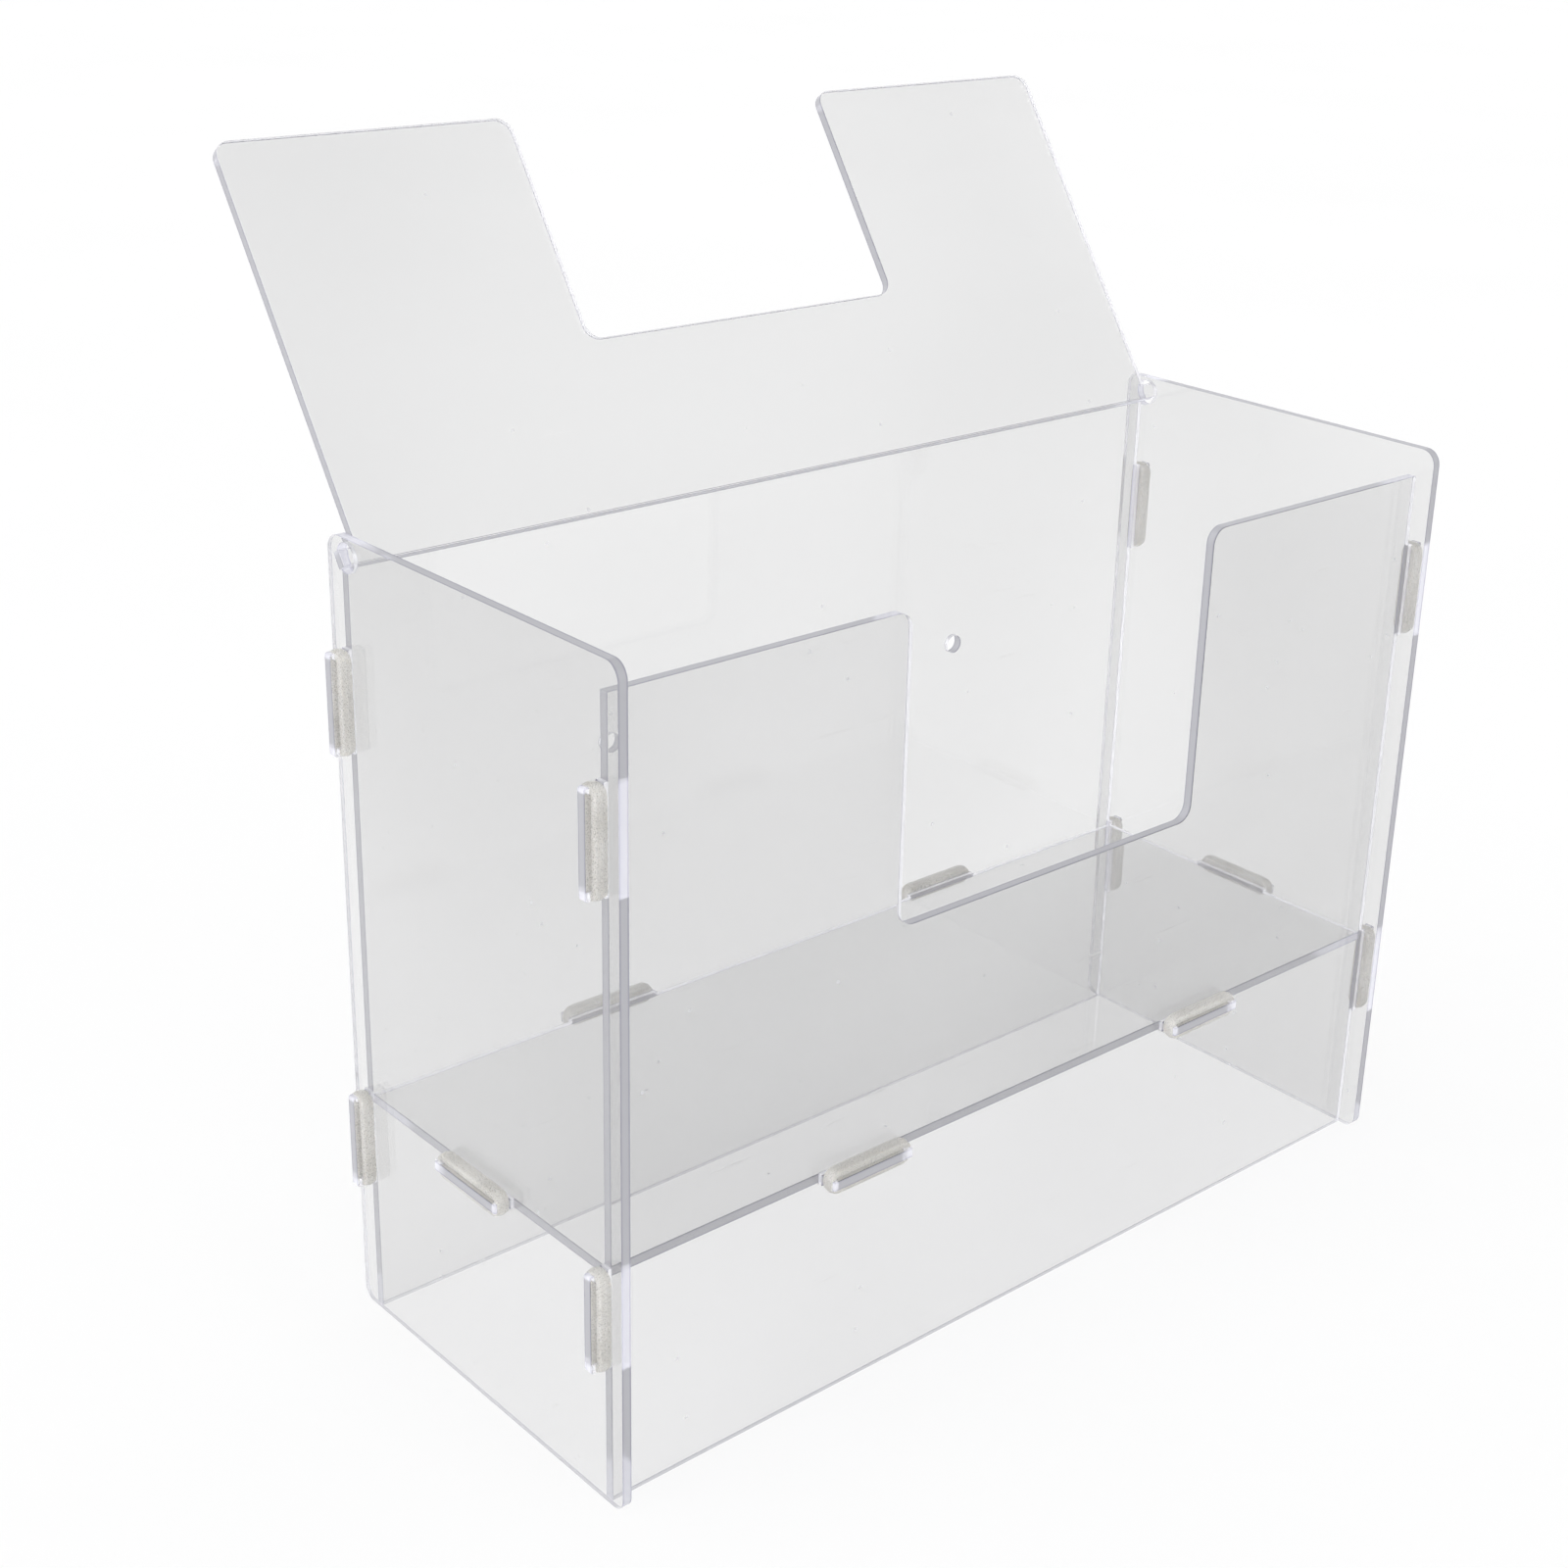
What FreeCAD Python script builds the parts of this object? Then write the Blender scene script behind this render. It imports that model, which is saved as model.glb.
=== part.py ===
"""Clear acrylic donation box with a hand opening in its front and a hinged lid.

Six laser-cut sheets plug together with tabs. A silicone band round the neck of each tab locks it,
so nothing is glued. Lengths are in millimetres. The frame is X to the right, Y to the rear and Z up,
with its origin at the middle of the back panel's bottom edge. The lid stands open.
"""
import FreeCAD, Part
import math
import os
import Sketcher

SIZES = {
    "sheet": 3,              # thickness of every acrylic sheet
    "box_width": 320,        # over the outer faces of the side panels
    "box_depth": 130,        # front edge to rear edge of a side panel
    "side_height": 243,
    "panel_height": 234,     # front and back panels
    "front_inset": 6,        # side panel's front edge to the front panel
    "rear_inset": 5,         # back panel to the side panel's rear edge
    "top_round": 5,          # corners of the side panels' tops, the notches and the lid
    "foot_round": 4,         # bottom corners of the side panels
    "tab_length": 30,        # over both ears
    "tab_neck": 26,          # between the ears, where the band sits
    "tab_round": 0.8,        # outer corners of the ears
    "side_reach": 5.5,       # front and back panels' tabs, beyond the side panels
    "shelf_reach": 5,        # shelf's tabs, beyond the panels they pass through
    "slot_play": 0.2,        # a slot's width over the sheet in it
    "slot_spare": 0.6,       # a slot's length over the tab in it
    "lower_tab": 59,         # height of the middle of the side panels' lower slots
    "upper_tab": 196,
    "shelf_top": 73.5,
    "shelf_tab": 71,         # centre line to the middle of a shelf tab
    "band_width": 4,         # along the tab
    "band_wall": 2.5,
    "band_corner": 3.6,      # outer corners of the ring
    "band_round": 0.7,       # rims of its two flat faces
    "notch_width": 120,      # hand opening in the front panel and in the lid
    "notch_floor": 142,
    "wall_hole": 6,          # diameter of the hanging holes
    "wall_hole_height": 163,
    "hinge_rear": 9,         # hinge line to the side panel's rear edge
    "hinge_drop": 5.5,       # hinge line to the side panel's top edge
    "hinge_hole": 8.7,       # diameter
    "lid_width": 313,
    "lid_length": 120,       # hinge line to the free edge
    "lid_tail": 2.5,         # hinge line to the rear edge
    "lid_notch": 49,         # hinge line to the floor of the lid's notch
    "lid_ear": 5,            # height of the ear that turns in the hinge hole
    "ear_proud": 2,          # ear's end beyond the side panel
    "lid_lean": 34,          # degrees that the open lid leans back past upright
}

# The directions of the model, and which of them each drawing's across, up and thickness lie along.
RIGHT = FreeCAD.Vector(1, 0, 0)
REAR = FreeCAD.Vector(0, 1, 0)
UP = FreeCAD.Vector(0, 0, 1)
SIDE_VIEW = (REAR, UP, RIGHT)
FRONT_VIEW = (RIGHT, UP, -REAR)
TOP_VIEW = (RIGHT, REAR, UP)

# Lengths worked out from the sheet of sizes, as expressions.
INNER_WIDTH = "(Sizes.box_width - 2 * Sizes.sheet)"
PANEL_GAP = "(Sizes.box_depth - Sizes.front_inset - Sizes.rear_inset - 2 * Sizes.sheet)"
FRONT_MIDDLE = f"(-{PANEL_GAP} - Sizes.sheet)"
SHELF_MIDDLE = f"({FRONT_MIDDLE} / 2)"
SHELF_HEIGHT = "(Sizes.shelf_top - Sizes.sheet / 2)"
REAR_PLANE = "(Sizes.rear_inset + Sizes.sheet / 2)"
SIDE_OUTER = "(Sizes.box_width / 2)"
SLOT_WIDE = "(Sizes.sheet + Sizes.slot_play)"
SLOT_LONG = "(Sizes.tab_length + Sizes.slot_spare)"
TAB_HEIGHTS = {"lower": "Sizes.lower_tab", "upper": "Sizes.upper_tab"}
FLAT = 1e-4                  # lengths under this count as none
NEAR = 1e-3                  # points closer than this count as one
START_PLACE = -0.5           # where a drawing's dimensions start, before their expressions set them
START_SIZE = 9

doc = FreeCAD.newDocument("DonationBox")
sheet_of_sizes = doc.addObject("Spreadsheet::Sheet", "Sizes")
for row, (alias, value) in enumerate(SIZES.items(), start=1):
    sheet_of_sizes.set(f"A{row}", alias)
    sheet_of_sizes.set(f"B{row}", str(value))
    sheet_of_sizes.setAlias(f"B{row}", alias)
doc.recompute()


# ---- drawing helpers ----

def new_sketch(body, name):
    """An empty sketch on the body's own XY plane."""
    sketch = body.newObject("Sketcher::SketchObject", name)
    plane = next(item for item in body.Origin.OriginFeatures if item.Role == "XY_Plane")
    sketch.AttachmentSupport = [(plane, "")]
    sketch.MapMode = "FlatFace"
    return sketch


def dimension(sketch, kind, geometry, expression, start=START_PLACE):
    """One driving dimension, bound to an expression."""
    index = sketch.addConstraint(Sketcher.Constraint(kind, *geometry, start))
    sketch.setExpression(f"Constraints[{index}]", expression)


def add_rectangle(sketch, centre_x, centre_y, wide, high):
    """A rectangle placed by its centre. All four values are expressions."""
    first = sketch.GeometryCount
    across = RIGHT * START_SIZE
    up = REAR * START_SIZE
    corners = [across * 0, across, across + up, up]
    for step, corner in enumerate(corners):
        sketch.addGeometry(Part.LineSegment(corner, corners[(step + 1) % 4]), False)
    for step in range(4):
        following = first + (step + 1) % 4
        sketch.addConstraint(Sketcher.Constraint("Coincident", first + step, 2, following, 1))
    for side in (0, 2):
        sketch.addConstraint(Sketcher.Constraint("Horizontal", first + side))
        sketch.addConstraint(Sketcher.Constraint("Vertical", first + side + 1))
    dimension(sketch, "DistanceX", (-1, 1, first, 1), f"{centre_x} - {wide} / 2")
    dimension(sketch, "DistanceY", (-1, 1, first, 1), f"{centre_y} - {high} / 2")
    dimension(sketch, "DistanceX", (first, 1, first, 2), wide, START_SIZE)
    dimension(sketch, "DistanceY", (first + 1, 1, first + 1, 2), high, START_SIZE)


def add_circle(sketch, centre_x, centre_y, diameter):
    """A circle placed by its centre. All three values are expressions."""
    index = sketch.addGeometry(Part.Circle(RIGHT + REAR, UP, START_SIZE / 2), False)
    dimension(sketch, "DistanceX", (-1, 1, index, 3), centre_x)
    dimension(sketch, "DistanceY", (-1, 1, index, 3), centre_y)
    dimension(sketch, "Diameter", (index,), diameter, START_SIZE)


# ---- feature helpers ----

def pad(body, sketch, name, thickness="Sizes.sheet", side="Symmetric"):
    """Thicken a sketch, half each side of the drawing plane unless told otherwise."""
    feature = body.newObject("PartDesign::Pad", name)
    feature.Profile = sketch
    feature.SideType = side
    feature.setExpression("Length", thickness)
    doc.recompute()
    return feature


def cut_through(body, sketch, name):
    """Cut a sketch right through the sheet, and make sure that it took material away."""
    before = body.Shape.Volume
    feature = body.newObject("PartDesign::Pocket", name)
    feature.Profile = sketch
    feature.SideType = "Symmetric"
    feature.Type = "ThroughAll"
    doc.recompute()
    if body.Shape.Volume >= before:
        raise RuntimeError(f"{body.Label}: {name} cut nothing")
    return feature


def sketch_corners(sketch):
    """Where a sketch's lines meet."""
    return {(round(line.StartPoint.x, 4), round(line.StartPoint.y, 4)) for line in sketch.Geometry}


def far_corners(sketch, pick, side):
    """The corners furthest to one side: pick is 0 for across and 1 for up, side is -1 or 1."""
    corners = sketch_corners(sketch)
    far = max(side * corner[pick] for corner in corners)
    return {corner for corner in corners if far - side * corner[pick] < FLAT}


def round_edges(body, name, numbers, radius):
    """Round the numbered edges of the body so far."""
    tip = body.Tip
    feature = body.newObject("PartDesign::Fillet", name)
    feature.Base = (tip, [f"Edge{number}" for number in numbers])
    feature.setExpression("Radius", radius)
    doc.recompute()


def round_corners(body, name, points, radius):
    """Round the edges that run through the sheet's thickness at the given points."""
    numbers = []
    for number, edge in enumerate(body.Tip.Shape.Edges, start=1):
        ends = [vertex.Point[:2] for vertex in edge.Vertexes]
        if len(ends) == 2 and math.dist(*ends) < FLAT:
            if any(math.dist(ends[0], point) < NEAR for point in points):
                numbers.append(number)
    if len(numbers) != len(points):
        raise RuntimeError(f"{body.Label}: {name} found {len(numbers)} edges of {len(points)}")
    round_edges(body, name, numbers, radius)


def new_body(label, view, place):
    """An empty body with its drawing turned to the given view and put at the given expressions."""
    body = doc.addObject("PartDesign::Body", label)
    body.Label = label
    body.Placement = FreeCAD.Placement(FreeCAD.Vector(), FreeCAD.Rotation(*view, "ZXY"))
    for axis, expression in zip("xyz", place):
        body.setExpression(f"Placement.Base.{axis}", expression)
    return body


def sheet_blank(body, wide, high, centre_y="0"):
    """The plain rectangle that a sheet is cut from, centred across."""
    sketch = new_sketch(body, f"{body.Label}_outline")
    add_rectangle(sketch, "0", centre_y, wide, high)
    pad(body, sketch, f"{body.Label}_blank")
    return sketch


def add_tabs(body, tabs):
    """Tabs with a neck for the band and an ear at each end of it.

    Each tab is (axis, side, edge, middle, reach): it points along the drawing's axis "x" or "y" to
    the side -1 or 1, from a sheet edge that far from the origin, with its middle at that place
    along the edge. It passes through one sheet and ends that reach beyond it.
    """
    blocks = new_sketch(body, f"{body.Label}_tab_blocks")
    notches = new_sketch(body, f"{body.Label}_tab_notches")
    bite = "((Sizes.tab_length - Sizes.tab_neck) / 2)"
    for axis, side, edge, middle, reach in tabs:
        depth = f"(Sizes.sheet + {reach})"
        outlines = [(blocks, f"{side} * ({edge} + {depth} / 2)", middle, depth, "Sizes.tab_length")]
        for way in (-1, 1):
            waist = f"{side} * ({edge} + Sizes.sheet + Sizes.band_width / 2)"
            step = f"({middle} + {way} * (Sizes.tab_length - {bite}) / 2)"
            outlines.append((notches, waist, step, "Sizes.band_width", bite))
        for sketch, along, across, deep, long in outlines:
            if axis == "x":
                add_rectangle(sketch, along, across, deep, long)
            else:
                add_rectangle(sketch, across, along, long, deep)
    doc.recompute()
    pad(body, blocks, f"{body.Label}_tabs")
    cut_through(body, notches, f"{body.Label}_necks")
    ears = set()
    for axis, side, *_ in tabs:
        ears |= far_corners(blocks, "xy".index(axis), side)
    round_corners(body, f"{body.Label}_ear_rounds", ears, "Sizes.tab_round")


# ---- the six sheets ----

def side_panel(label, side):
    """A side panel, drawn from the right with Y across and Z up."""
    body = new_body(label, SIDE_VIEW, (f"{side} * ({SIDE_OUTER} - Sizes.sheet / 2)", "0", "0"))
    outline = new_sketch(body, f"{label}_outline")
    middle = f"({REAR_PLANE} - Sizes.box_depth / 2)"
    add_rectangle(outline, middle, "Sizes.side_height / 2", "Sizes.box_depth", "Sizes.side_height")
    pad(body, outline, f"{label}_blank")

    slots = new_sketch(body, f"{label}_slots")
    for panel_middle in ("0", FRONT_MIDDLE):
        for height in TAB_HEIGHTS.values():
            add_rectangle(slots, panel_middle, height, SLOT_WIDE, SLOT_LONG)
    add_rectangle(slots, SHELF_MIDDLE, SHELF_HEIGHT, SLOT_LONG, SLOT_WIDE)
    cut_through(body, slots, f"{label}_tab_slots")

    bearing = new_sketch(body, f"{label}_bearing")
    add_circle(bearing, f"{REAR_PLANE} - Sizes.hinge_rear", "Sizes.side_height - Sizes.hinge_drop",
               "Sizes.hinge_hole")
    cut_through(body, bearing, f"{label}_hinge_hole")

    round_corners(body, f"{label}_top_rounds", far_corners(outline, 1, 1), "Sizes.top_round")
    round_corners(body, f"{label}_foot_rounds", far_corners(outline, 1, -1), "Sizes.foot_round")
    return body


def upright_panel(label, middle_y):
    """What the front and back panels share: the blank, four side tabs and two shelf slots."""
    body = new_body(label, FRONT_VIEW, ("0", middle_y, "0"))
    sheet_blank(body, INNER_WIDTH, "Sizes.panel_height", "Sizes.panel_height / 2")
    edge = f"({INNER_WIDTH} / 2)"
    add_tabs(body, [("x", side, edge, height, "Sizes.side_reach")
                    for side in (-1, 1) for height in TAB_HEIGHTS.values()])
    slots = new_sketch(body, f"{label}_slots")
    for side in (-1, 1):
        add_rectangle(slots, f"{side} * Sizes.shelf_tab", SHELF_HEIGHT, SLOT_LONG, SLOT_WIDE)
    cut_through(body, slots, f"{label}_tab_slots")
    return body


def cut_notch(body, floor, top):
    """The hand opening, from its floor up to the sheet's free edge, with rounded corners."""
    notch = new_sketch(body, f"{body.Label}_notch_outline")
    add_rectangle(notch, "0", f"({floor} + {top}) / 2", "Sizes.notch_width", f"({top} - {floor})")
    cut_through(body, notch, f"{body.Label}_notch")
    round_corners(body, f"{body.Label}_notch_rounds", sketch_corners(notch), "Sizes.top_round")


def front_panel():
    """The front, with its hand opening."""
    body = upright_panel("front_panel", FRONT_MIDDLE)
    cut_notch(body, "Sizes.notch_floor", "Sizes.panel_height")
    return body


def back_panel():
    """The back, with two round holes for hanging the box on a wall."""
    body = upright_panel("back_panel", "0")
    holes = new_sketch(body, "back_panel_wall_holes")
    for side in (-1, 1):
        add_circle(holes, f"{side} * Sizes.shelf_tab", "Sizes.wall_hole_height", "Sizes.wall_hole")
    cut_through(body, holes, "back_panel_hanging_holes")
    return body


def shelf():
    """The floor of the box, held by six tabs."""
    body = new_body("shelf", TOP_VIEW, ("0", SHELF_MIDDLE, SHELF_HEIGHT))
    sheet_blank(body, INNER_WIDTH, PANEL_GAP)
    tabs = []
    for side in (-1, 1):
        tabs.append(("x", side, f"({INNER_WIDTH} / 2)", "0", "Sizes.shelf_reach"))
        for place in (-1, 1):
            middle = f"({place} * Sizes.shelf_tab)"
            tabs.append(("y", side, f"({PANEL_GAP} / 2)", middle, "Sizes.shelf_reach"))
    add_tabs(body, tabs)
    return body


def lid():
    """The lid, turned about its hinge line. Its two ears turn in the side panels' holes."""
    place = ("0", f"{REAR_PLANE} - Sizes.hinge_rear", "Sizes.side_height - Sizes.hinge_drop")
    body = new_body("lid", TOP_VIEW, place)
    body.Placement.Rotation = FreeCAD.Rotation(RIGHT, 1)
    body.setExpression("Placement.Rotation.Angle", "90 - Sizes.lid_lean")
    length = "(Sizes.lid_length + Sizes.lid_tail)"
    outline = sheet_blank(body, "Sizes.lid_width", length, "((Sizes.lid_length - Sizes.lid_tail) / 2)")

    ears = new_sketch(body, "lid_ear_outlines")
    ear_long = f"({SIDE_OUTER} + Sizes.ear_proud - Sizes.lid_width / 2)"
    for side in (-1, 1):
        middle = f"{side} * (Sizes.lid_width / 2 + {ear_long} / 2)"
        add_rectangle(ears, middle, "0", ear_long, "Sizes.lid_ear")
    pad(body, ears, "lid_ears")

    cut_notch(body, "Sizes.lid_notch", "Sizes.lid_length")
    round_corners(body, "lid_free_rounds", far_corners(outline, 1, 1), "Sizes.top_round")
    return body


# ---- the bands ----

def band(label, view, place):
    """A silicone band round a tab's neck: across the drawing along the neck, up through the sheet."""
    body = new_body(label, view, place)
    outside = new_sketch(body, f"{label}_outside")
    long = "(Sizes.tab_neck + 2 * Sizes.band_wall)"
    add_rectangle(outside, "0", "0", long, "(Sizes.sheet + 2 * Sizes.band_wall)")
    pad(body, outside, f"{label}_block", "Sizes.band_width", "One side")
    round_corners(body, f"{label}_corners", sketch_corners(outside), "Sizes.band_corner")

    flat = [number for number, edge in enumerate(body.Tip.Shape.Edges, start=1)
            if edge.BoundBox.ZLength < FLAT]
    round_edges(body, f"{label}_rims", flat, "Sizes.band_round")

    inside = new_sketch(body, f"{label}_inside")
    add_rectangle(inside, "0", "0", "Sizes.tab_neck", "Sizes.sheet")
    cut_through(body, inside, f"{label}_opening")
    return body


def side_bands():
    """The bands on the front and back panels' tabs, outside the side panels."""
    for side_name, side in (("left", -1), ("right", 1)):
        view = (UP, side * -REAR, side * RIGHT)
        for panel_name, panel_middle in (("front", FRONT_MIDDLE), ("rear", "0")):
            for level, height in TAB_HEIGHTS.items():
                place = (f"{side} * {SIDE_OUTER}", panel_middle, height)
                yield band(f"band_{side_name}_{panel_name}_{level}", view, place)


def shelf_bands():
    """The bands on the shelf's tabs: one at each side, and two at the front and the rear."""
    for side_name, side in (("left", -1), ("right", 1)):
        view = (side * REAR, UP, side * RIGHT)
        place = (f"{side} * {SIDE_OUTER}", SHELF_MIDDLE, SHELF_HEIGHT)
        yield band(f"band_shelf_{side_name}", view, place)
    outer_faces = (("front", -1, f"{FRONT_MIDDLE} - Sizes.sheet / 2"), ("rear", 1, "Sizes.sheet / 2"))
    for panel_name, way, face in outer_faces:
        view = (-way * RIGHT, UP, way * REAR)
        for side_name, side in (("left", -1), ("right", 1)):
            place = (f"{side} * Sizes.shelf_tab", face, SHELF_HEIGHT)
            yield band(f"band_shelf_{panel_name}_{side_name}", view, place)


# ---- build, check and write ----

parts = [
    side_panel("left_panel", -1),
    side_panel("right_panel", 1),
    front_panel(),
    back_panel(),
    shelf(),
    lid(),
    *side_bands(),
    *shelf_bands(),
]
doc.recompute()

for item in doc.Objects:
    if {"Invalid", "Error"} & set(item.State):
        raise RuntimeError(f"{item.Name} failed: {item.State}")
for part in parts:
    if part.Shape.isNull() or not part.Shape.isValid() or len(part.Shape.Solids) != 1:
        raise RuntimeError(f"{part.Label} isn't one valid solid")

os.makedirs("parts", exist_ok=True)
for part in parts:
    part.Shape.exportStep(os.path.join("parts", f"{part.Label}.step"))
    box = part.Shape.BoundBox
    low = f"{box.XMin:7.1f} {box.YMin:7.1f} {box.ZMin:7.1f}"
    high = f"{box.XMax:7.1f} {box.YMax:7.1f} {box.ZMax:7.1f}"
    print(f"{part.Label:24} {part.Shape.Volume:9.0f} mm3  from {low}  to {high}")
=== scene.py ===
# %% [markdown]
# # A clear acrylic donation box
#
# The box is six laser-cut sheets of clear acrylic that plug together with tabs and slots. A milky
# silicone band round the neck of each tab locks it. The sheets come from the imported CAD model, and
# this lesson gives them polished edges and a finish, makes the soft bands, and sets up the studio.
# Everything is in metres, with X to the right, Y to the rear and Z up.

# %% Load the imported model
import math

import bmesh
import bpy
from mathutils import Matrix, Vector


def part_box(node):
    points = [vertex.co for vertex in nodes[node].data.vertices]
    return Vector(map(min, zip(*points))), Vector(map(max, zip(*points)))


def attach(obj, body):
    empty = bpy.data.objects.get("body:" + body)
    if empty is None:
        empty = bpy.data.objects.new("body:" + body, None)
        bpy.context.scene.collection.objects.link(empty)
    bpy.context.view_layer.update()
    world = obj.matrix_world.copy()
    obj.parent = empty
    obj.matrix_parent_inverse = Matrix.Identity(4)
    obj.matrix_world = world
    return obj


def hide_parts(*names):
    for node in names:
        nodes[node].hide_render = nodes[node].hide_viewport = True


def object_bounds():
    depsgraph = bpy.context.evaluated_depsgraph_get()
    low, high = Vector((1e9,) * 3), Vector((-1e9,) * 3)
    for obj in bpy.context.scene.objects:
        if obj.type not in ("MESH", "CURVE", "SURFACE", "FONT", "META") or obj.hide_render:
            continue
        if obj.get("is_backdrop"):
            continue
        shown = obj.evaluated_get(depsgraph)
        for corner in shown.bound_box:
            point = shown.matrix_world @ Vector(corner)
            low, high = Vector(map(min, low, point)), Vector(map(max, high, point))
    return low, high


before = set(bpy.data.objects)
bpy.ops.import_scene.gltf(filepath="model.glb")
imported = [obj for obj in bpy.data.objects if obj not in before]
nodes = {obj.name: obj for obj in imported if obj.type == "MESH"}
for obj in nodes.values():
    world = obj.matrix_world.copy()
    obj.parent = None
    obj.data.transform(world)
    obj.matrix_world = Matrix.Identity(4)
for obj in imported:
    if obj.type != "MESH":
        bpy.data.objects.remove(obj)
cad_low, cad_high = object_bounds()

MM = 0.001
band_names = sorted(name for name in nodes if name.startswith("band_"))
print("sheets:", [name for name in nodes if name not in band_names], "bands:", len(band_names))

# %% [markdown]
# ## Where the sheets lie
#
# A sheet's two faces and its cut edges have different finishes. One material can tell them apart
# if it knows which way the sheet faces and where its middle plane is. Picking the faces by hand
# would also work, but both can be read from the mesh, so they stay right when a size changes: the
# largest triangle of a sheet faces the way the sheet does, and the middle plane is halfway between
# the nearest and furthest points that way. It works for the leaning lid too.

# %% Each sheet's facing direction and middle plane
SHEET_NODES = ("left_panel", "right_panel", "front_panel", "back_panel", "shelf", "lid")


def plane_of(node):
    """The way a sheet faces, a point of its middle plane, and half its thickness."""
    mesh = nodes[node].data
    facing = max(mesh.polygons, key=lambda polygon: polygon.area).normal.copy()
    heights = [vertex.co.dot(facing) for vertex in mesh.vertices]
    low, high = min(heights), max(heights)
    return facing, facing * (low + high) / 2, (high - low) / 2


planes = {node: plane_of(node) for node in SHEET_NODES}
for node, (facing, _, half) in planes.items():
    print(f"{node:12} faces {tuple(round(part, 2) for part in facing)}, {2 * half / MM:.2f} mm thick")

# %% [markdown]
# ## A short way to write materials
#
# A node material is a tree of small steps. Written out in full, each step takes several lines, so
# one helper makes a node, sets its values and joins its inputs. It keeps the recipes below short
# enough to read as recipes.

# %% The node helper


class Recipe:
    """A material and its nodes."""

    def __init__(self, name):
        self.material = bpy.data.materials.new(name)
        self.material.use_nodes = True
        self.tree = self.material.node_tree
        self.tree.nodes.clear()

    def node(self, kind, inputs=None, **settings):
        """Make a node. An input is a value, or the socket of another node."""
        made = self.tree.nodes.new(kind)
        for name, value in settings.items():
            setattr(made, name, value)
        for name, value in (inputs or {}).items():
            if isinstance(value, bpy.types.NodeSocket):
                self.tree.links.new(value, made.inputs[name])
            else:
                made.inputs[name].default_value = value
        return made

    def maths(self, operation, first, second=0.0):
        """One sum on numbers."""
        return self.node("ShaderNodeMath", {0: first, 1: second}, operation=operation).outputs[0]

    def ramp(self, value, low, high, at_low=0.0, at_high=1.0):
        """A number that goes smoothly from at_low to at_high as value goes from low to high."""
        inputs = {"Value": value, "From Min": low, "From Max": high, "To Min": at_low, "To Max": at_high}
        return self.node("ShaderNodeMapRange", inputs, interpolation_type="SMOOTHSTEP").outputs[0]

    def blend(self, share, first, second):
        """A colour between two colours."""
        mix = self.node("ShaderNodeMix", data_type="RGBA")
        for index, value in ((0, share), (6, first), (7, second)):
            if isinstance(value, bpy.types.NodeSocket):
                self.tree.links.new(value, mix.inputs[index])
            else:
                mix.inputs[index].default_value = value
        return mix.outputs[2]

    def let_light_past(self, shader, tint):
        """Let lamp light go straight through, tinted, so that a clear piece casts a faint shadow.

        Rays that leave a dull surface go through as well, which lightens the shadow under the box.
        """
        ray = self.node("ShaderNodeLightPath")
        passing = self.node("ShaderNodeBsdfTransparent", {"Color": tint}).outputs[0]
        for kind in ("Is Diffuse Ray", "Is Shadow Ray"):
            mix = self.node("ShaderNodeMixShader", {0: ray.outputs[kind], 1: shader, 2: passing})
            shader = mix.outputs[0]
        return shader

    def finish(self, shader):
        """Send the finished shader to the surface."""
        output = self.node("ShaderNodeOutputMaterial")
        self.tree.links.new(shader, output.inputs["Surface"])
        return self.material


print("node helper ready")

# %% [markdown]
# ## Clear acrylic
#
# Cast acrylic is clear, but not perfectly: light loses a little in it, its faces have a slow
# waviness, and polishing leaves dust and short hairline marks. The laser melts its edges, which
# turn pale violet, with fine stripes across the thickness. A darker line is painted on each edge
# where it meets a face: painted shade for the dark line that the rounded edge shows by bending light.
# The faces could be one glass shader, but then the sheet would nearly vanish on a white table. So
# the faces get a faint grey, partly the little light that acrylic loses and partly painted shade for
# the dimming that mirrored surroundings give, and their marks, and the edges get a cloudy violet
# mixed into the glass.

# %% The acrylic recipe
ACRYLIC_INDEX = 1.49
# The two face greys are partly light lost in the acrylic and partly painted shade for the dimming that
# mirrored surroundings give.
FACE_TINT_AND_PAINTED_SHADE = (0.868, 0.868, 0.87, 1)
FACE_DARKER_TINT_AND_PAINTED_SHADE = (0.822, 0.822, 0.824, 1)
EDGE_CORE = (0.88, 0.88, 0.94, 1)
# The darker edge colour, used next to each face, is painted shade for the dark line that a rounded edge shows
# by bending light.
EDGE_PAINTED_SHADE_LINE = (0.68, 0.68, 0.78, 1)
EDGE_CLOUD = 0.45
DUST = (0.62, 0.63, 0.65, 1)
ACRYLIC_SHADOW = (0.98, 0.98, 0.982, 1)
EDGE_ENDS = 0.35
FACE_BEGINS = 0.9
WAVE_SCALE = 14.0
WAVE_BUMP = 0.012
GREY_SCALE = 5.0
NOISE_LOW = 0.35
NOISE_HIGH = 0.65
FINE_LOW = 0.3
FINE_HIGH = 0.7
DUST_CELLS = 75.0
SPECK_CORE = 0.035
SPECK_RIM = 0.05
DUST_LEFT_OUT = 0.72
DUST_STRENGTH = 0.55
SCRATCH_STRETCH = (30.0, 420.0, 420.0)
SCRATCH_TURN = (0.4, 0.9, 0.5)
SCRATCH_STARTS = 0.74
SCRATCH_FULL = 0.78
SCRATCH_ROUGHNESS = 0.25
STRIPE_SCALE = 2600.0
STRIPE_BUMP = 0.25
EDGE_ROUGHNESS = (0.03, 0.22)
# Where the painted shade on an edge begins and where it is full, through the thickness.
PAINTED_SHADE_STARTS = 0.55
PAINTED_SHADE_FULL = 0.8


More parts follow.
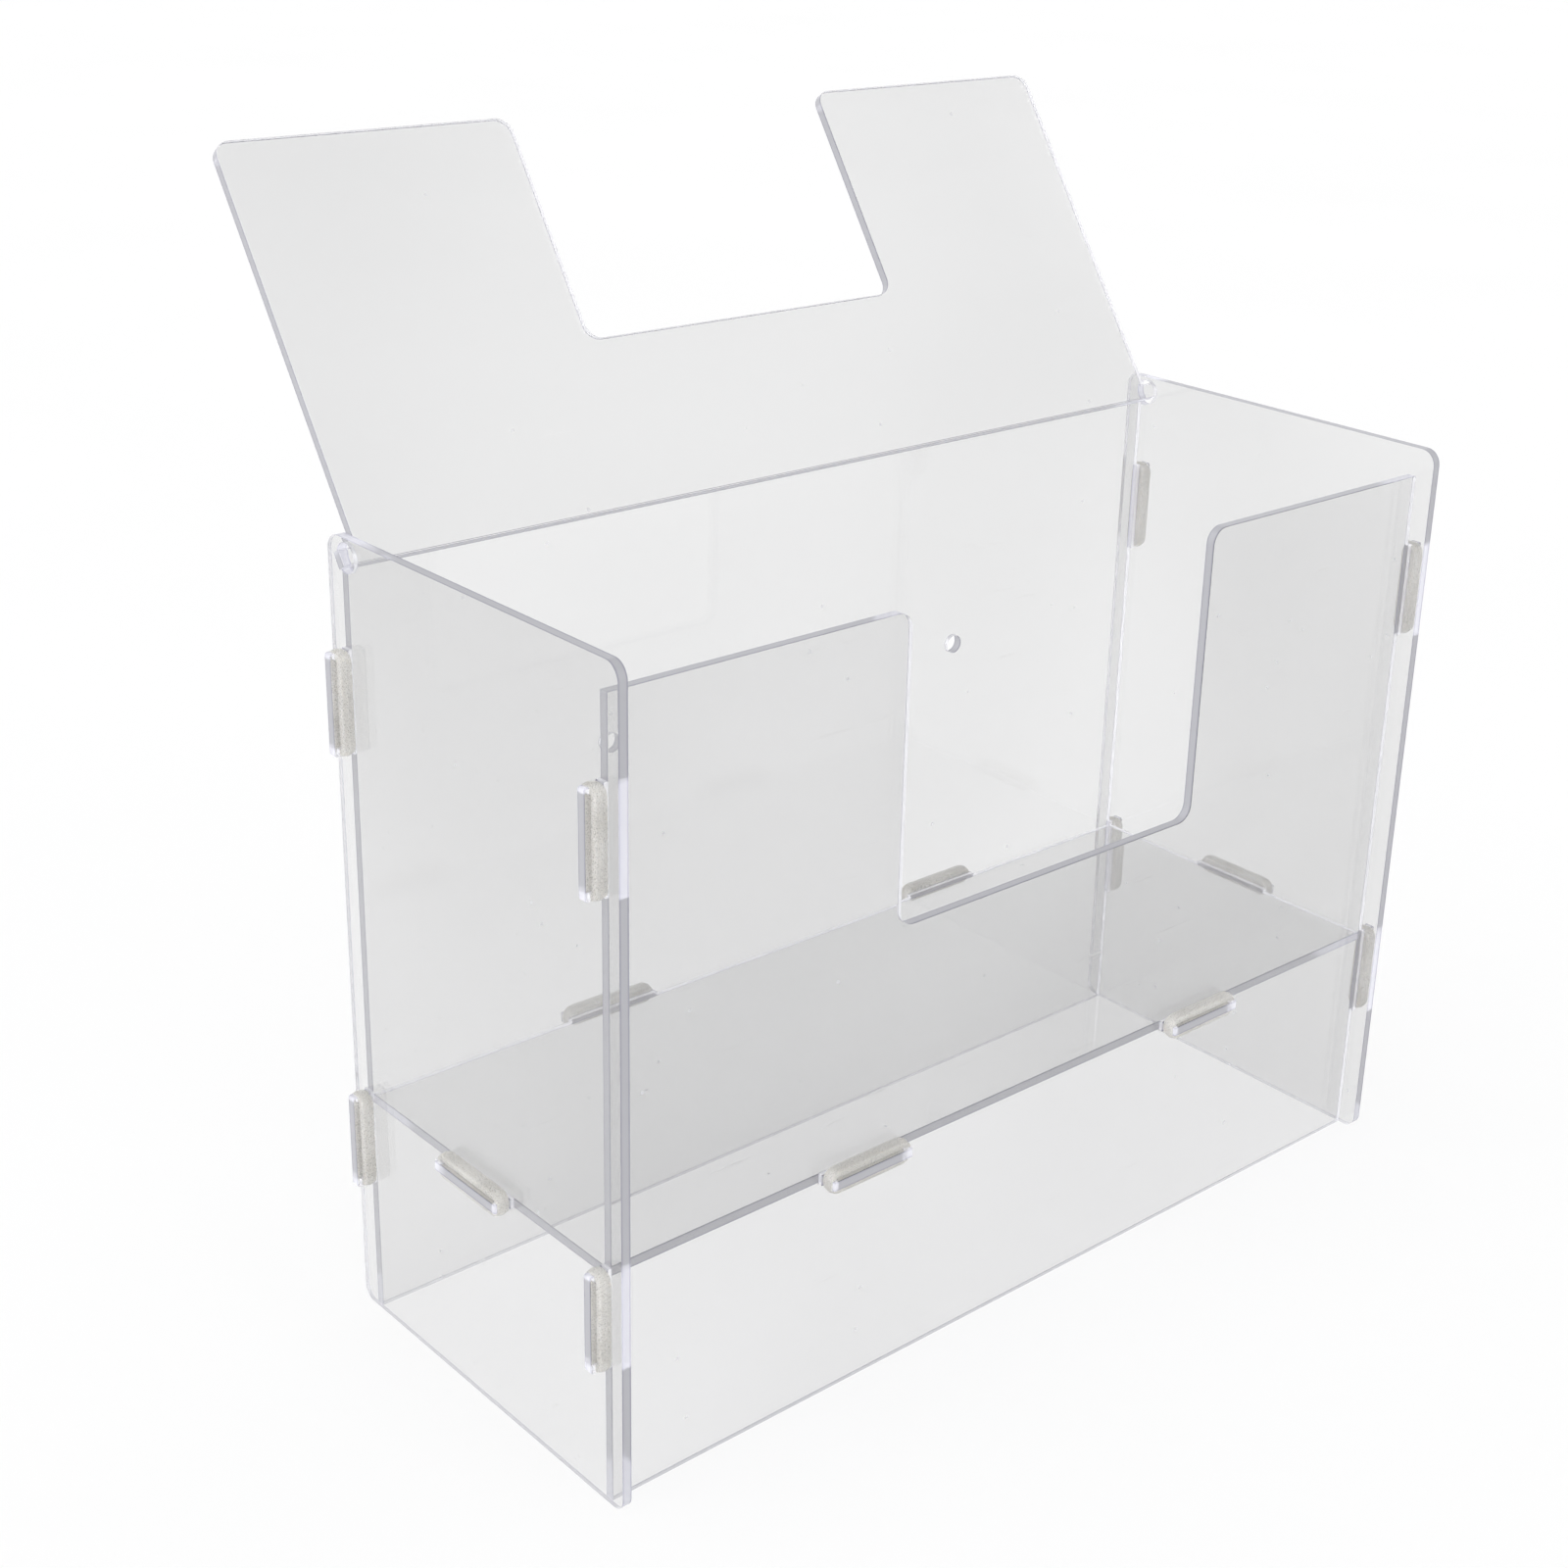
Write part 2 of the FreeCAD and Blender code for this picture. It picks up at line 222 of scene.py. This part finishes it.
def acrylic(name, facing, middle_point, half_thickness):
    """Clear sheet that faces along facing, with its middle plane through middle_point."""
    recipe = Recipe(name)
    where = recipe.node("ShaderNodeTexCoord")
    place = where.outputs["Object"]

    # How squarely the surface looks along the sheet's own direction: 1 on a face and 0 on an edge.
    turned = recipe.node("ShaderNodeVectorMath", {0: where.outputs["Normal"], 1: facing},
                         operation="DOT_PRODUCT")
    squareness = recipe.maths("ABSOLUTE", turned.outputs["Value"])
    on_edge = recipe.ramp(squareness, EDGE_ENDS, FACE_BEGINS, 1.0, 0.0)

    # How far through the thickness the point is: 0 in the middle and 1 at a face.
    offset = recipe.node("ShaderNodeVectorMath", {0: place, 1: middle_point}, operation="SUBTRACT").outputs[0]
    through = recipe.node("ShaderNodeVectorMath", {0: offset, 1: facing}, operation="DOT_PRODUCT")
    depth = recipe.maths("ABSOLUTE", recipe.maths("DIVIDE", through.outputs["Value"], half_thickness))

    # Slow waviness, and a wide soft variation in how grey the sheet looks.
    waves = recipe.node("ShaderNodeTexNoise", {"Vector": place, "Scale": WAVE_SCALE, "Detail": 2.0})
    clouds = recipe.node("ShaderNodeTexNoise", {"Vector": place, "Scale": GREY_SCALE, "Detail": 1.0})
    cloudy = recipe.ramp(clouds.outputs[0], NOISE_LOW, NOISE_HIGH)

    # Specks of dust, in about a quarter of the cells of a coarse cell pattern.
    cells = recipe.node("ShaderNodeTexVoronoi", {"Vector": place, "Scale": DUST_CELLS, "Randomness": 1.0})
    speck = recipe.ramp(cells.outputs["Distance"], SPECK_CORE, SPECK_RIM, 1.0, 0.0)
    chosen = recipe.node("ShaderNodeSeparateColor", {"Color": cells.outputs["Color"]}).outputs[0]
    dust = recipe.maths("MULTIPLY", speck, recipe.maths("GREATER_THAN", chosen, DUST_LEFT_OUT))

    # Hairline marks: a long thin noise, cut off so that only its peaks show.
    stretched = recipe.node("ShaderNodeMapping", {"Vector": place, "Rotation": SCRATCH_TURN,
                                                  "Scale": SCRATCH_STRETCH})
    hairs = recipe.node("ShaderNodeTexNoise", {"Vector": stretched.outputs[0], "Scale": 1.0, "Detail": 1.0})
    scratches = recipe.ramp(hairs.outputs[0], SCRATCH_STARTS, SCRATCH_FULL)

    # Fine stripes left by the laser, across the thickness.
    flat = recipe.node("ShaderNodeVectorMath", {0: place, 1: facing}, operation="PROJECT").outputs[0]
    across = recipe.node("ShaderNodeVectorMath", {0: place, 1: flat}, operation="SUBTRACT").outputs[0]
    striped = recipe.node("ShaderNodeTexNoise", {"Vector": across, "Scale": STRIPE_SCALE, "Detail": 2.0})
    stripes = striped.outputs[0]

    # The faces' grey, varied at random: partly light lost in the acrylic, partly painted shade.
    tint = recipe.blend(cloudy, FACE_TINT_AND_PAINTED_SHADE, FACE_DARKER_TINT_AND_PAINTED_SHADE)
    face_bump = recipe.node("ShaderNodeBump", {"Height": waves.outputs[0], "Strength": WAVE_BUMP,
                                               "Distance": 1 * MM})
    face = recipe.node("ShaderNodeBsdfPrincipled", {
        "Base Color": tint, "IOR": ACRYLIC_INDEX, "Transmission Weight": 1.0,
        "Roughness": recipe.maths("MULTIPLY", scratches, SCRATCH_ROUGHNESS), "Normal": face_bump.outputs[0]})
    dusty = recipe.node("ShaderNodeBsdfDiffuse", {"Color": DUST})
    marked = recipe.node("ShaderNodeMixShader", {0: recipe.maths("MULTIPLY", dust, DUST_STRENGTH),
                                                 1: face.outputs[0], 2: dusty.outputs[0]})

    # Painted shade: the edge colour darkens towards each face, standing in for the dark line that the rounded
    # edge shows by bending light.
    painted_shade_border = recipe.ramp(depth, PAINTED_SHADE_STARTS, PAINTED_SHADE_FULL)
    edge_colour_and_painted_shade = recipe.blend(painted_shade_border, EDGE_CORE, EDGE_PAINTED_SHADE_LINE)
    edge_bump = recipe.node("ShaderNodeBump", {"Height": stripes, "Strength": STRIPE_BUMP,
                                               "Distance": 0.2 * MM})
    edge = recipe.node("ShaderNodeBsdfPrincipled", {
        "Base Color": edge_colour_and_painted_shade, "IOR": ACRYLIC_INDEX, "Transmission Weight": 1.0,
        "Roughness": recipe.ramp(stripes, FINE_LOW, FINE_HIGH, *EDGE_ROUGHNESS),
        "Normal": edge_bump.outputs[0]})
    cloud = recipe.node("ShaderNodeBsdfDiffuse", {"Color": edge_colour_and_painted_shade})
    melted = recipe.node("ShaderNodeMixShader", {0: EDGE_CLOUD, 1: edge.outputs[0], 2: cloud.outputs[0]})

    sheet = recipe.node("ShaderNodeMixShader", {0: on_edge, 1: marked.outputs[0], 2: melted.outputs[0]})
    return recipe.finish(recipe.let_light_past(sheet.outputs[0], ACRYLIC_SHADOW))


for node, plane in planes.items():
    nodes[node].material_slots[0].material = acrylic(f"acrylic_{node}", *plane)
print("acrylic on", len(planes), "sheets")

# %% [markdown]
# ## Softened sheet edges
#
# A laser-cut edge isn't a knife edge: the melt rounds it by a quarter of a millimetre, and that
# small round is what catches the light. The CAD sheets have sharp edges, and modifiers can round
# them without touching the mesh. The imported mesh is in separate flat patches, so Weld joins them,
# Decimate merges the triangles of each flat face, Bevel rounds the edges, and Weighted Normal keeps
# the faces flat. A hair's breadth of Displace keeps sheets that touch from sharing one surface. It
# comes before the bevel. The other way round, with the faces merged, the bevel on the shelf folds
# over itself and dark streaks cross the glass. A bevel of 0.28 mm does so as much as one of 0.24 mm.

# %% Round the edges of the sheets
EDGE_ROUND = 0.24 * MM
HAIR = 0.02 * MM
FLAT_ANGLE = math.radians(0.5)
SHARP_ANGLE = math.radians(40)
ROUND_STEPS = 3
FACE_WEIGHT = 50


def soften(sheet):
    """Rounded edges for a sheet, made by modifiers only."""
    weld = sheet.modifiers.new("weld", "WELD")
    weld.merge_threshold = HAIR / 10
    merge = sheet.modifiers.new("merge_flats", "DECIMATE")
    merge.decimate_type = "DISSOLVE"
    merge.angle_limit = FLAT_ANGLE
    shrink = sheet.modifiers.new("hair_gap", "DISPLACE")
    shrink.direction = "NORMAL"
    shrink.mid_level = 0
    shrink.strength = -HAIR
    bevel = sheet.modifiers.new("melted_edge", "BEVEL")
    bevel.width = EDGE_ROUND
    bevel.segments = ROUND_STEPS
    bevel.limit_method = "ANGLE"
    bevel.angle_limit = SHARP_ANGLE
    bevel.loop_slide = False
    shading = sheet.modifiers.new("flat_faces", "WEIGHTED_NORMAL")
    shading.mode = "FACE_AREA"
    shading.weight = FACE_WEIGHT


for node in SHEET_NODES:
    soften(nodes[node])
print("edges rounded by", EDGE_ROUND / MM, "mm")

# %% [markdown]
# ## The silicone bands
#
# Each band is a moulded ring, 31 by 8 mm and 4 mm wide, stretched over a tab's ears to sit on its
# neck. Its outer wall is slightly crowned, its rims are round, and the two halves of the mould leave
# a fine ridge round its middle. It could be a torus pressed flat, but its walls are straight along
# the tab. So it is a profile carried round a rounded rectangle: every loop of the profile has the
# same number of points, and the loops are joined with four-sided faces.

# %% The outline of a band
CORNER_STEPS = 10
SIDE_STEPS = 12


def rounded_rectangle(half_long, half_short, radius):
    """Points round a rectangle with round corners, always the same number."""
    points = []
    for corner, (way_long, way_short) in enumerate(((1, 1), (-1, 1), (-1, -1), (1, -1))):
        centre_long = way_long * (half_long - radius)
        centre_short = way_short * (half_short - radius)
        for step in range(CORNER_STEPS + 1):
            angle = math.pi / 2 * (corner + step / CORNER_STEPS)
            points.append((centre_long + radius * math.cos(angle), centre_short + radius * math.sin(angle)))
        if corner in (0, 2):
            start = points[-1]
            for step in range(1, SIDE_STEPS):
                slide = -way_long * 2 * (half_long - radius) * step / SIDE_STEPS
                points.append((start[0] + slide, start[1]))
    return points


print("points in an outline:", len(rounded_rectangle(15, 4, 3.6)))

# %% The profile of a band
RIM_STEPS = 5
RIM = 0.7 * MM
LIP = 0.35 * MM
CROWN = 0.22 * MM
CROWN_STEPS = (0.35, 0.7)
RIDGE = 0.07 * MM
RIDGE_HALF = 0.14 * MM
FIT = 0.04 * MM


def outer_profile(width):
    """How far in the outer wall lies, and at which height, from one rim to the other."""
    steps = []
    for step in range(RIM_STEPS + 1):
        angle = math.pi / 2 * step / RIM_STEPS
        steps.append((RIDGE + CROWN + RIM * (1 - math.sin(angle)), RIM * (1 - math.cos(angle))))
    for share in CROWN_STEPS:
        height = RIM + (width / 2 - RIM) * share
        steps.append((RIDGE + CROWN * (1 - share) ** 2, height))
    steps.append((RIDGE, width / 2 - RIDGE_HALF))
    steps.append((0.0, width / 2))
    return steps + [(inset, width - height) for inset, height in reversed(steps[:-1])]


print("steps in the outer wall:", len(outer_profile(4 * MM)))

# %% Build one band
WALL = 2.5 * MM
CORNER = 3.6 * MM


def band_mesh(name, half_long, half_short, width):
    """A closed ring: the outer wall, then the lip and the wall of the opening."""
    shape = bmesh.new()
    loops = []
    for inset, height in outer_profile(width - 2 * FIT):
        loops.append((half_long - inset, half_short - inset, CORNER - inset, height + FIT))
    inner_long = half_long - WALL + FIT
    inner_short = half_short - WALL + FIT
    for height, outward in ((width - FIT, LIP), (width - FIT - LIP, 0), (FIT + LIP, 0), (FIT, LIP)):
        loops.append((inner_long + outward, inner_short + outward, LIP + outward, height))
    rings = []
    for long, short, radius, height in loops:
        outline = rounded_rectangle(long, short, radius)
        rings.append([shape.verts.new((x, y, height)) for x, y in outline])
    for ring, following in zip(rings, rings[1:] + rings[:1]):
        for step in range(len(ring)):
            ahead = (step + 1) % len(ring)
            shape.faces.new((ring[step], ring[ahead], following[ahead], following[step]))
    bmesh.ops.recalc_face_normals(shape, faces=shape.faces)
    for face in shape.faces:
        face.smooth = True
    mesh = bpy.data.meshes.new(name)
    shape.to_mesh(mesh)
    shape.free()
    return mesh


def turn_to(long_axis, width_axis):
    """The turn that lays a ring's long side and its width along the given directions."""
    short_axis = width_axis.cross(long_axis)
    return Matrix((long_axis, short_axis, width_axis)).transposed().to_4x4()


AXES = {"x": Vector((1, 0, 0)), "y": Vector((0, 1, 0)), "z": Vector((0, 0, 1))}


def make_band(node):
    """A soft band in the place of the CAD one, which gives its size and its direction."""
    low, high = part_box(node)
    size = high - low
    by_length = sorted("xyz", key=lambda axis: getattr(size, axis))
    width_axis, short_axis, long_axis = by_length
    piece_name = f"soft_{node}"
    mesh = band_mesh(piece_name, getattr(size, long_axis) / 2, getattr(size, short_axis) / 2,
                     getattr(size, width_axis))
    turn = turn_to(AXES[long_axis], AXES[width_axis])
    start = (low + high) / 2 - AXES[width_axis] * getattr(size, width_axis) / 2
    mesh.transform(Matrix.Translation(start) @ turn)
    piece = bpy.data.objects.new(piece_name, mesh)
    bpy.context.scene.collection.objects.link(piece)
    return piece


bands = {node: make_band(node) for node in band_names}
print("bands made:", len(bands), "faces each:", len(bands[band_names[0]].data.polygons))

# %% [markdown]
# ## Milky silicone
#
# Clear silicone rubber is never quite clear: light scatters in it, so it looks like thin milk, warm
# where it is thick. Its skin is slightly greasy, with a soft shine and a fine grain from the mould,
# and it picks up dust. Glass alone would be too clean and paint too dead, so the recipe lets light
# through, scatters part of it, and varies both slowly along the ring.

# %% The silicone recipe
SILICONE_THIN = (0.69, 0.682, 0.663, 1)
SILICONE_THICK = (0.61, 0.60, 0.578, 1)
SILICONE_SHADOW = (0.88, 0.87, 0.85, 1)
SILICONE_INDEX = 1.41
SWIRL_SCALE = 70.0
GRAIN_SCALE = 4200.0
GRAIN_BUMP = 0.02
CLEAR_ROUGHNESS = (0.26, 0.32)
BODY_ROUGHNESS = (0.3, 0.38)
MILK_SHARE = 0.5


def silicone():
    """Translucent moulded rubber."""
    recipe = Recipe("silicone_milky")
    place = recipe.node("ShaderNodeTexCoord").outputs["Object"]
    swirl = recipe.node("ShaderNodeTexNoise", {"Vector": place, "Scale": SWIRL_SCALE, "Detail": 1.0,
                                               "Distortion": 0.6}).outputs[0]
    grained = recipe.node("ShaderNodeTexNoise", {"Vector": place, "Scale": GRAIN_SCALE, "Detail": 2.0})
    grain = grained.outputs[0]
    colour = recipe.blend(recipe.ramp(swirl, NOISE_LOW, NOISE_HIGH), SILICONE_THIN, SILICONE_THICK)
    bump = recipe.node("ShaderNodeBump", {"Height": grain, "Strength": GRAIN_BUMP, "Distance": 0.1 * MM})
    clear = recipe.node("ShaderNodeBsdfPrincipled", {
        "Base Color": colour, "IOR": SILICONE_INDEX, "Transmission Weight": 1.0,
        "Roughness": recipe.ramp(grain, FINE_LOW, FINE_HIGH, *CLEAR_ROUGHNESS), "Normal": bump.outputs[0]})
    body = recipe.node("ShaderNodeBsdfPrincipled", {
        "Base Color": colour, "IOR": SILICONE_INDEX,
        "Roughness": recipe.ramp(grain, FINE_LOW, FINE_HIGH, *BODY_ROUGHNESS),
        "Coat Weight": 0.35, "Coat Roughness": 0.12, "Subsurface Weight": 0.6, "Subsurface Scale": 2 * MM,
        "Normal": bump.outputs[0]})
    body.inputs["Subsurface Radius"].default_value = (1.0, 0.95, 0.85)
    milk = recipe.node("ShaderNodeMixShader", {0: MILK_SHARE, 1: clear.outputs[0], 2: body.outputs[0]})
    return recipe.finish(recipe.let_light_past(milk.outputs[0], SILICONE_SHADOW))


milky = silicone()
for node, piece in bands.items():
    piece.data.materials.append(milky)
    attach(piece, "box")
    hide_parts(node)
print("silicone on", len(bands), "bands")

# %% [markdown]
# ## The studio
#
# Clear things are lit by what is behind them: they show because they bend and mirror a bright
# table and dimmer surroundings. So the floor is wide, pale and evenly lit, the air near the horizon
# is about as bright as the floor, and overhead it is dimmer, which darkens what mirrors it. The one
# lamp is very broad, because a sheet mirrors a small bright lamp as a hard white patch.

# %% The floor
FLOOR_HALF = 20.0
FLOOR_GAP = 0.05 * MM
PAPER = (0.9, 0.9, 0.9, 1)
PAPER_LIGHT = (0.92, 0.92, 0.92, 1)
MOTTLE_SCALE = 3.0


def make_floor():
    """A wide pale floor just under the box."""
    shape = bmesh.new()
    corners = [(-1, -1), (1, -1), (1, 1), (-1, 1)]
    shape.faces.new([shape.verts.new((x * FLOOR_HALF, y * FLOOR_HALF, 0)) for x, y in corners])
    mesh = bpy.data.meshes.new("floor")
    shape.to_mesh(mesh)
    shape.free()
    floor = bpy.data.objects.new("floor", mesh)
    floor.location.z = cad_low.z - FLOOR_GAP
    bpy.context.scene.collection.objects.link(floor)
    recipe = Recipe("pale_floor")
    place = recipe.node("ShaderNodeTexCoord").outputs["Object"]
    mottle = recipe.node("ShaderNodeTexNoise", {"Vector": place, "Scale": MOTTLE_SCALE, "Detail": 2.0})
    colour = recipe.blend(mottle.outputs[0], PAPER, PAPER_LIGHT)
    paper = recipe.node("ShaderNodeBsdfDiffuse", {"Color": colour})
    floor.data.materials.append(recipe.finish(paper.outputs[0]))
    floor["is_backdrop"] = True
    return floor


floor = make_floor()
print("floor at", round(floor.location.z / MM, 2), "mm")

# %% The lamp and the air
LAMP_STRENGTH = 2.3
LAMP_ANGLE = math.radians(110)
LAMP_TURN = (math.radians(15), math.radians(-35), 0)
AIR_BRIGHT = 1.0
AIR_DIM = 0.3
FADE_LOW = 0.3
FADE_HIGH = 0.8


def make_lamp():
    """A broad soft lamp, high on the left and a little in front."""
    light = bpy.data.lights.new("soft_lamp", "SUN")
    light.energy = LAMP_STRENGTH
    light.angle = LAMP_ANGLE
    lamp = bpy.data.objects.new("soft_lamp", light)
    lamp.rotation_euler = LAMP_TURN
    bpy.context.scene.collection.objects.link(lamp)


def make_air():
    """Surroundings about as bright as the floor at the horizon, and dimmer overhead."""
    world = bpy.data.worlds.new("studio_air")
    bpy.context.scene.world = world
    world.use_nodes = True
    tree = world.node_tree
    tree.nodes.clear()
    look = tree.nodes.new("ShaderNodeTexCoord")
    split = tree.nodes.new("ShaderNodeSeparateXYZ")
    fade = tree.nodes.new("ShaderNodeMapRange")
    fade.interpolation_type = "SMOOTHSTEP"
    for name, value in (("From Min", FADE_LOW), ("From Max", FADE_HIGH),
                        ("To Min", AIR_BRIGHT), ("To Max", AIR_DIM)):
        fade.inputs[name].default_value = value
    glow = tree.nodes.new("ShaderNodeBackground")
    glow.inputs["Color"].default_value = (1, 1, 1, 1)
    out = tree.nodes.new("ShaderNodeOutputWorld")
    tree.links.new(look.outputs["Generated"], split.inputs[0])
    tree.links.new(split.outputs["Z"], fade.inputs["Value"])
    tree.links.new(fade.outputs[0], glow.inputs["Strength"])
    tree.links.new(glow.outputs[0], out.inputs["Surface"])


make_lamp()
make_air()
bpy.context.scene.view_settings.view_transform = "Standard"
print("lamp", LAMP_STRENGTH, "air", AIR_BRIGHT, "to", AIR_DIM)

# %% [markdown]
# ## The camera
#
# The camera stands three quarters of a metre from the middle of the box, in front on the left and
# higher than the lid's hinge. From there a lens a little longer than normal fills the frame. It is
# tipped by nearly two degrees and shifted slightly, as a hand-held product shot is. The three
# directions below are the camera's own axes, so together they make the matrix that turns it.

# %% Place the camera
CAMERA_PLACE = Vector((-476.2, -550.2, 439.0)) * MM
CAMERA_AZIMUTH = math.radians(42.146)
CAMERA_DOWN = math.radians(21.938)
CAMERA_ROLL = math.radians(1.745)
CAMERA_LENS = 55.96
CAMERA_SHIFT = (-0.0356, -0.0286)
SENSOR_WIDTH = 36
NEAR_CLIP = 10 * MM


def make_camera():
    """The camera, turned to the azimuth, dipped, and rolled."""
    ahead = Vector((math.sin(CAMERA_AZIMUTH) * math.cos(CAMERA_DOWN),
                    math.cos(CAMERA_AZIMUTH) * math.cos(CAMERA_DOWN), -math.sin(CAMERA_DOWN)))
    level = Vector((math.cos(CAMERA_AZIMUTH), -math.sin(CAMERA_AZIMUTH), 0))
    upward = level.cross(ahead)
    across = math.cos(CAMERA_ROLL) * level + math.sin(CAMERA_ROLL) * upward
    tall = math.cos(CAMERA_ROLL) * upward - math.sin(CAMERA_ROLL) * level
    lens = bpy.data.cameras.new("camera")
    lens.lens = CAMERA_LENS
    lens.sensor_width = SENSOR_WIDTH
    lens.shift_x, lens.shift_y = CAMERA_SHIFT
    lens.clip_start = NEAR_CLIP
    camera = bpy.data.objects.new("camera", lens)
    turn = Matrix((across, tall, -ahead)).transposed().to_4x4()
    camera.matrix_world = Matrix.Translation(CAMERA_PLACE) @ turn
    bpy.context.scene.collection.objects.link(camera)
    bpy.context.scene.camera = camera
    return camera


camera = make_camera()
print("camera at", tuple(round(part, 3) for part in camera.location), "m")

# %% [markdown]
# ## Measure and finish
#
# The finished box has to be the size of the CAD model, so the last lines print how far each
# corner of it grew past the CAD box.

# %% Write the sizes and finish
new_low, new_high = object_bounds()
for side, grown in (("low", cad_low - new_low), ("high", new_high - cad_high)):
    print(side, "corner grew by", [round(part / MM, 3) for part in grown], "mm")
